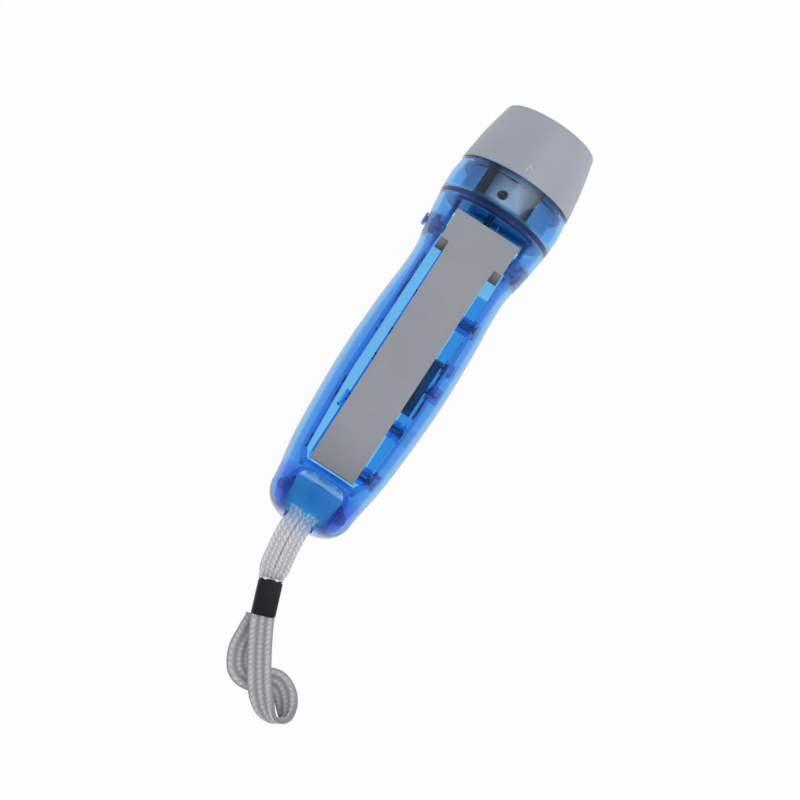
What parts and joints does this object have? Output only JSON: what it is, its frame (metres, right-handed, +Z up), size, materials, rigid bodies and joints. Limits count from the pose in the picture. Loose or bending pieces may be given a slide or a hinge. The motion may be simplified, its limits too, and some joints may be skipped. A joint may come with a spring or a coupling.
{
  "type": "hand-press dynamo flashlight",
  "caption": "Hand-press dynamo flashlight with a translucent blue two-part case, grey squeeze lever in a slot, geared generator, lamp head with bezel, and a braided wrist strap.",
  "frame": {"origin": "middle of the torch's footprint on the surface that its back rests on, without the wrist strap", "axes": "+X from the tail to the lamp end, +Z up through the lever side, +Y to the left case half; y = 0 is the case's parting plane"},
  "size_m": [0.1947, 0.0493, 0.0382],
  "materials": {
    "case_blue": "clear blue translucent moulding, polished",
    "lever_grey": "fine satin moulding",
    "bezel_grey": "satin moulding",
    "housing_grey": "satin moulding",
    "carrier_white": "white moulding",
    "gear_white": "natural acetal",
    "gear_black": "black moulding",
    "steel": "bright steel",
    "stator_iron": "stamped iron",
    "magnet_black": "dark sintered ferrite",
    "bobbin_black": "black moulding",
    "copper": "enamelled copper wire",
    "brass": "turned disc",
    "board_green": "circuit board",
    "lamp_clear": "clear lamp body",
    "lens_clear": "clear window",
    "reflector_chrome": "metallised bowl",
    "lock_grey": "dark moulding",
    "lead_red": "insulated lead",
    "lead_black": "insulated lead",
    "strap_grey": "flat braided cord",
    "ferrule_black": "black crimped sleeve"
  },
  "bodies": {
    "torch": {"case_left": "case_blue", "case_right": "case_blue", "bezel": "bezel_grey", "lens": "lens_clear", "reflector": "reflector_chrome", "lamp_housing": "housing_grey", "lamp_carrier": "carrier_white", "lamp_board": "board_green", "led_1": "lamp_clear", "led_2": "lamp_clear", "led_3": "lamp_clear", "lever_pin": "steel", "lever_spring": "steel", "drive_axle": "steel", "clutch_axle": "steel", "stator_core": "stator_iron", "coil_bobbin": "bobbin_black", "coil_winding": "copper", "case_screw_1": "steel", "case_screw_2": "steel", "case_screw_3": "steel", "lead_red": "lead_red", "lead_black": "lead_black", "strap_neck": "strap_grey", "strap_ferrule": "ferrule_black", "strap_loop": "strap_grey"},
    "lever": {"lever": "lever_grey", "lever_sector": "gear_white"},
    "drive_train": {"drive_gear": "gear_white"},
    "clutch": {"clutch_wheel": "gear_white", "clutch_pinion": "gear_black"},
    "rotor": {"flywheel": "brass", "flywheel_pinion": "gear_black", "flywheel_shaft": "steel", "magnet_ring": "magnet_black"},
    "slider": {"lock_slider": "lock_grey"}
  },
  "joints": [
    {"name": "lever_pivot", "type": "hinge", "parent": "torch", "child": "lever", "pos_m": [0.026, 0, 0.0271], "axis": [0, 1, 0], "range_deg": [0, 22], "deforming": ["lever_spring"]},
    {"name": "drive_spin", "type": "hinge", "parent": "torch", "child": "drive_train", "pos_m": [0.00695, 0, 0.0161], "axis": [0, 1, 0], "range_deg": [-99.5, 0]},
    {"name": "clutch_spin", "type": "hinge", "parent": "torch", "child": "clutch", "pos_m": [-0.00643, 0, 0.01269], "axis": [0, 1, 0], "range_deg": [0, 358]},
    {"name": "rotor_spin", "type": "hinge", "parent": "torch", "child": "rotor", "pos_m": [-0.01639, 0, 0.01842], "axis": [0, 1, 0], "range_deg": [-1285, 0]},
    {"name": "lock_slide", "type": "slide", "parent": "torch", "child": "slider", "axis": [-1, 0, 0], "range_m": [0, 0.002]}
  ],
  "couplings": [
    {"joint": "drive_spin", "follows": "lever_pivot", "ratio": -4.5},
    {"joint": "clutch_spin", "follows": "lever_pivot", "ratio": 16.2},
    {"joint": "rotor_spin", "follows": "lever_pivot", "ratio": -58.32}
  ]
}
